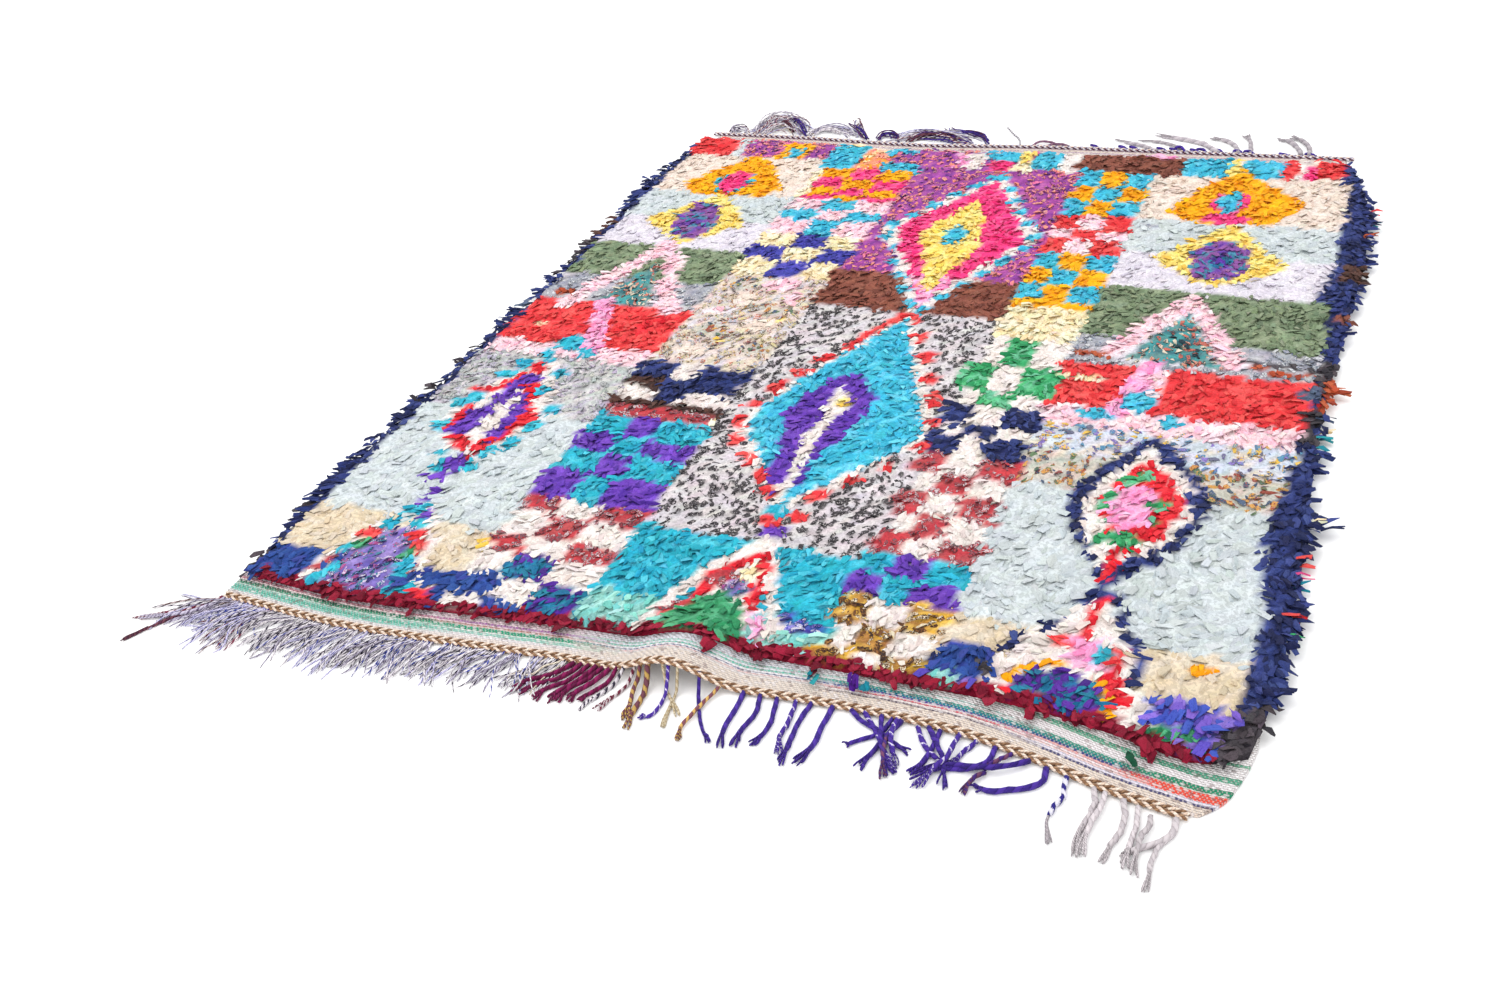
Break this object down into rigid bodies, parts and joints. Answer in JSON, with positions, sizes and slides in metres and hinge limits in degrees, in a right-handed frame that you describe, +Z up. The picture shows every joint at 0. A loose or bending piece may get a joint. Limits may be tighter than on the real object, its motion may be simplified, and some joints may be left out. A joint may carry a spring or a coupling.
{
  "type": "boucherouite rug",
  "caption": "Berber rag rug in long knotted pile of many colours, with flat-woven skirts and a fringe at each end.",
  "frame": {"origin": "on the flat underside, near the middle of the rug, where it rests on the floor", "axes": "+Z up off the floor, +Y from the near end with its wave to the far end, +X across the rug to the right"},
  "size_m": [1.6129, 2.1267, 0.0397],
  "materials": {
    "rag_pile": "matte",
    "near_yarn": "matte",
    "far_yarn": "matte"
  },
  "bodies": {
    "root": {"rug": "rag_pile", "near_fringe": "near_yarn", "far_fringe": "far_yarn"}
  },
  "joints": []
}
